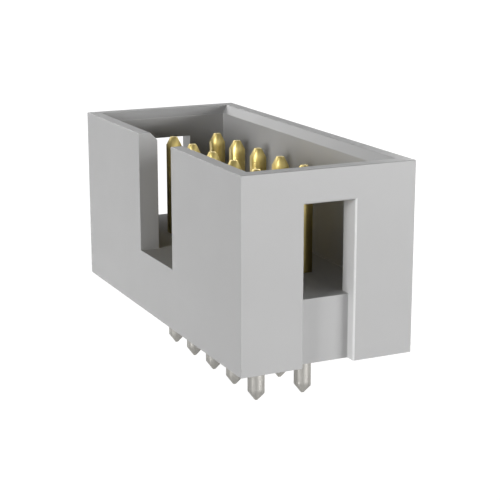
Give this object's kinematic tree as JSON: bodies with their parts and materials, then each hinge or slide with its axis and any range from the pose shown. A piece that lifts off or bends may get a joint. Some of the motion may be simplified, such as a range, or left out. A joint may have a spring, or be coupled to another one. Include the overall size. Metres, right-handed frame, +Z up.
{
  "type": "idc box header",
  "caption": "Shrouded straight pin header: open grey box with key slot and end windows round two rows of square contacts.",
  "frame": {"origin": "centre of the housing's footprint, on the seating plane that rests on the board", "axes": "+Z up out of the pocket's mouth, X along the contact rows, -Y the long wall with the key slot"},
  "size_m": [0.02, 0.0088, 0.0123],
  "materials": {
    "housing_plastic": "fine satin moulded thermoplastic, light neutral grey",
    "contact_plating": "square brass wire, gold plated above the floor and tin plated below it"
  },
  "bodies": {
    "root": {"housing": "housing_plastic", "pin_1": "contact_plating", "pin_2": "contact_plating", "pin_3": "contact_plating", "pin_4": "contact_plating", "pin_5": "contact_plating", "pin_6": "contact_plating", "pin_7": "contact_plating", "pin_8": "contact_plating", "pin_9": "contact_plating", "pin_10": "contact_plating"}
  },
  "joints": []
}
